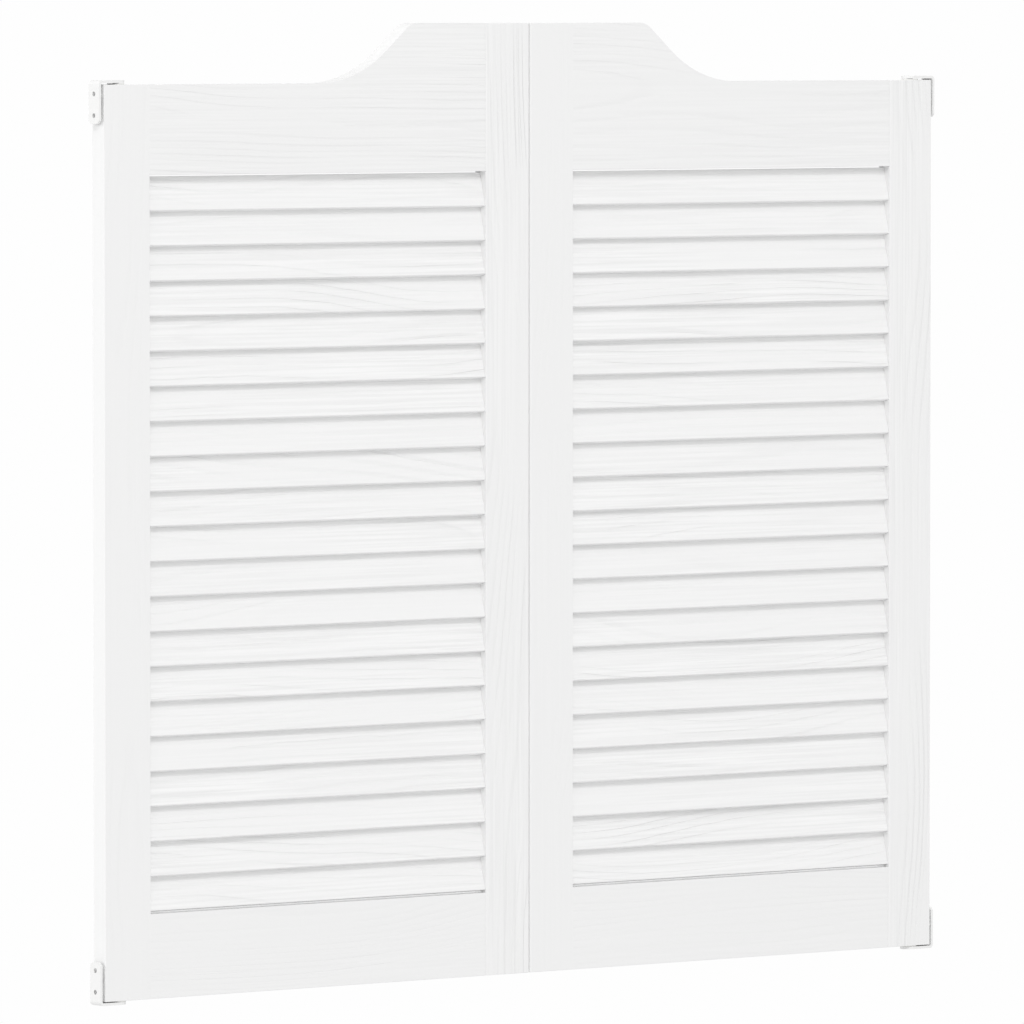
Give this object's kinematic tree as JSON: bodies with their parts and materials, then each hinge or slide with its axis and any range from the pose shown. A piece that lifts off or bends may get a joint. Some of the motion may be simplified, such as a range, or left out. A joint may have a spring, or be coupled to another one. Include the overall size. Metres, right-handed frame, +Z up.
{
  "type": "louvred cafe swinging doors",
  "caption": "Pair of louvred cafe doors with a raised swept crest at the middle, swinging both ways on concealed spring pivots between two jambs.",
  "frame": {"origin": "face of the left jamb, midway between the two screw holes of the left lower bracket, in the plane that halves the doors' thickness", "axes": "+X along the closed doors from the left jamb to the right jamb, -Y towards the front of the doors, +Z up"},
  "size_m": [1.01, 0.018, 0.9036],
  "materials": {
    "stiles": "satin white paint over vertical grain",
    "rails": "satin white paint over horizontal grain",
    "slats": "satin white paint over horizontal grain",
    "pivot_housings": "moulded white nylon",
    "springs": "oiled spring steel",
    "brackets": "white powder coat",
    "pivot_steel": "bright zinc plate"
  },
  "bodies": {
    "jamb_hardware": {"upper_brackets": "brackets", "lower_brackets": "brackets", "top_pivot_pins": "pivot_steel", "bottom_spindles": "pivot_steel"},
    "left_leaf": {"left_hinge_stile": "stiles", "left_meeting_stile": "stiles", "left_top_rail": "rails", "left_bottom_rail": "rails", "left_slat_01": "slats", "left_slat_02": "slats", "left_slat_03": "slats", "left_slat_04": "slats", "left_slat_05": "slats", "left_slat_06": "slats", "left_slat_07": "slats", "left_slat_08": "slats", "left_slat_09": "slats", "left_slat_10": "slats", "left_slat_11": "slats", "left_slat_12": "slats", "left_slat_13": "slats", "left_slat_14": "slats", "left_slat_15": "slats", "left_slat_16": "slats", "left_slat_17": "slats", "left_slat_18": "slats", "left_slat_19": "slats", "left_slat_20": "slats", "left_slat_21": "slats", "left_pivot_housings": "pivot_housings", "left_return_spring": "springs"},
    "right_leaf": {"right_hinge_stile": "stiles", "right_meeting_stile": "stiles", "right_top_rail": "rails", "right_bottom_rail": "rails", "right_slat_01": "slats", "right_slat_02": "slats", "right_slat_03": "slats", "right_slat_04": "slats", "right_slat_05": "slats", "right_slat_06": "slats", "right_slat_07": "slats", "right_slat_08": "slats", "right_slat_09": "slats", "right_slat_10": "slats", "right_slat_11": "slats", "right_slat_12": "slats", "right_slat_13": "slats", "right_slat_14": "slats", "right_slat_15": "slats", "right_slat_16": "slats", "right_slat_17": "slats", "right_slat_18": "slats", "right_slat_19": "slats", "right_slat_20": "slats", "right_slat_21": "slats", "right_pivot_housings": "pivot_housings", "right_return_spring": "springs"}
  },
  "joints": [
    {"name": "left_swing", "type": "hinge", "parent": "jamb_hardware", "child": "left_leaf", "pos_m": [0.025, 0, 0], "axis": [0, 0, 1], "range_deg": [-90, 90], "stiffness_Nm_per_rad": 0.36, "deforming": ["left_return_spring"]},
    {"name": "right_swing", "type": "hinge", "parent": "jamb_hardware", "child": "right_leaf", "pos_m": [0.985, 0, 0], "axis": [0, 0, 1], "range_deg": [-90, 90], "stiffness_Nm_per_rad": 0.36, "deforming": ["right_return_spring"]}
  ]
}
